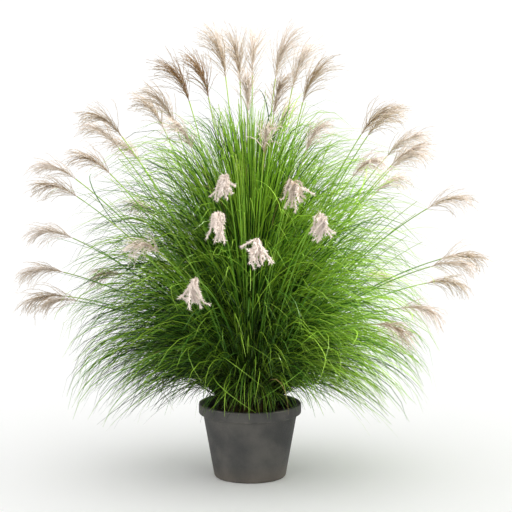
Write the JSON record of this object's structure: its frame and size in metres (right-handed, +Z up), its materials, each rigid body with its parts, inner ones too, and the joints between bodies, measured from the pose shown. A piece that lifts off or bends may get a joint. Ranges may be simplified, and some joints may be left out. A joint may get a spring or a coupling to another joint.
{
  "type": "potted himalayan fairy grass",
  "caption": "Round tapered pot holding a fountain of narrow arching grass leaves, with upright stems that end in silky drooping flower heads.",
  "frame": {"origin": "centre of the pot's flat underside", "axes": "+Z up, +X to the right and +Y to the back as the plant is looked at in the picture"},
  "size_m": [1.5484, 1.2937, 1.4963],
  "materials": {
    "pot": "matte",
    "soil": "matte",
    "leaf": "satin",
    "plume": "matte"
  },
  "bodies": {
    "root": {"pot": "pot", "soil": "soil", "leafy_tuft_1": "leaf", "leafy_tuft_2": "leaf", "leafy_tuft_3": "leaf", "leafy_tuft_4": "leaf", "leafy_tuft_5": "leaf", "leafy_tuft_6": "leaf", "flower_head_01": "plume", "flower_head_02": "plume", "flower_head_03": "plume", "flower_head_04": "plume", "flower_head_05": "plume", "flower_head_06": "plume", "flower_head_07": "plume", "flower_head_08": "plume", "flower_head_09": "plume", "flower_head_10": "plume", "flower_head_11": "plume", "flower_head_12": "plume", "flower_head_13": "plume", "flower_head_14": "plume", "flower_head_15": "plume", "flower_head_16": "plume", "flower_head_17": "plume", "flower_head_18": "plume", "flower_head_19": "plume", "flower_head_20": "plume", "flower_head_21": "plume", "flower_head_22": "plume", "flower_head_23": "plume", "flower_head_24": "plume", "flower_head_25": "plume", "flower_head_26": "plume", "flower_head_27": "plume", "flower_head_28": "plume", "flower_head_29": "plume", "flower_head_30": "plume", "flower_head_31": "plume", "flower_head_32": "plume", "flower_head_33": "plume", "flower_head_34": "plume", "flower_head_35": "plume", "flower_head_36": "plume", "flower_head_37": "plume", "flower_head_38": "plume", "flower_head_39": "plume", "flower_head_40": "plume", "flower_head_41": "plume", "flower_head_42": "plume", "flower_head_43": "plume", "flower_head_44": "plume", "flower_head_45": "plume", "flower_head_46": "plume", "flower_head_47": "plume", "flower_head_48": "plume", "flower_head_49": "plume", "flower_head_50": "plume", "flower_head_51": "plume", "flower_head_52": "plume"}
  },
  "joints": []
}
